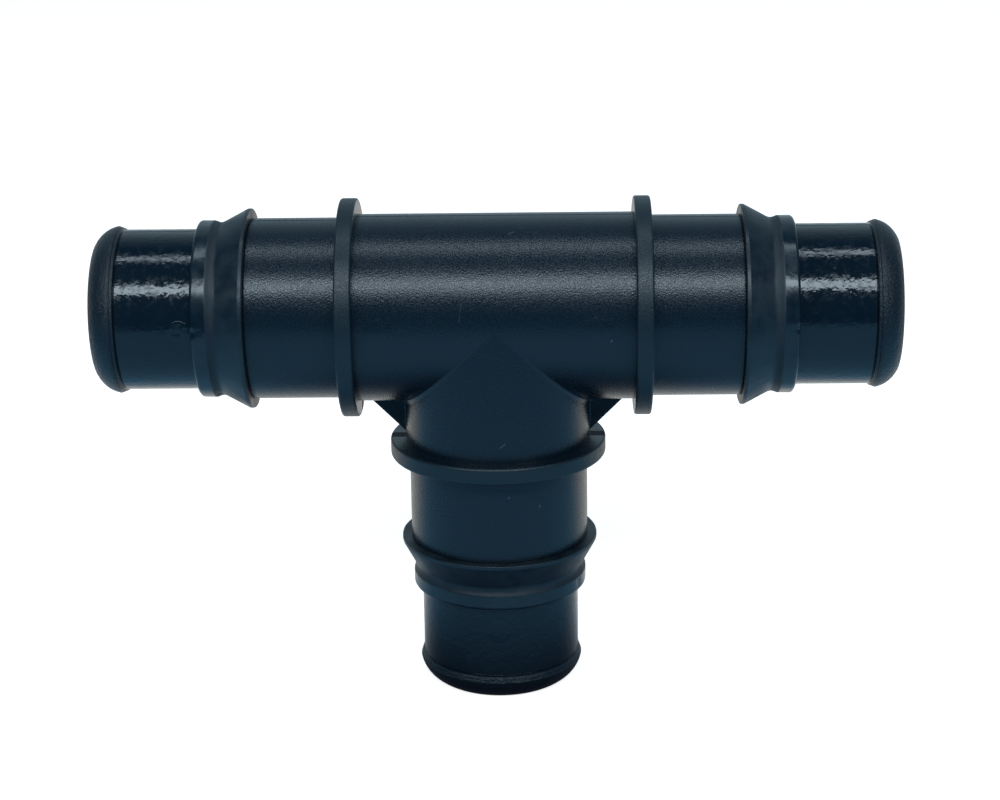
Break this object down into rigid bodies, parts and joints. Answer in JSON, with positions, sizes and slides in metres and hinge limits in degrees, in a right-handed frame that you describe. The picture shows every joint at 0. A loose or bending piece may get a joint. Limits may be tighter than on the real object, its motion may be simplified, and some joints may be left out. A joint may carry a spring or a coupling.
{
  "type": "hose tee fitting",
  "caption": "Equal hose tee: a moulded body with stop flanges, gussets and polished pilots, and an elastomer lip seal on each spigot.",
  "frame": {"origin": "where the run's bore axis and the branch's bore axis cross", "axes": "+X along the run, -Z out of the branch's mouth, Y across the plane of the tee"},
  "size_m": [0.1102, 0.0302, 0.0699],
  "materials": {
    "moulded_body": "fine spark-eroded grain on the body, polished on the pilots",
    "seal_rubber": "smooth moulded elastomer, satin"
  },
  "bodies": {
    "root": {"tee_body": "moulded_body", "left_lip_seal": "seal_rubber", "right_lip_seal": "seal_rubber", "branch_lip_seal": "seal_rubber"}
  },
  "joints": []
}
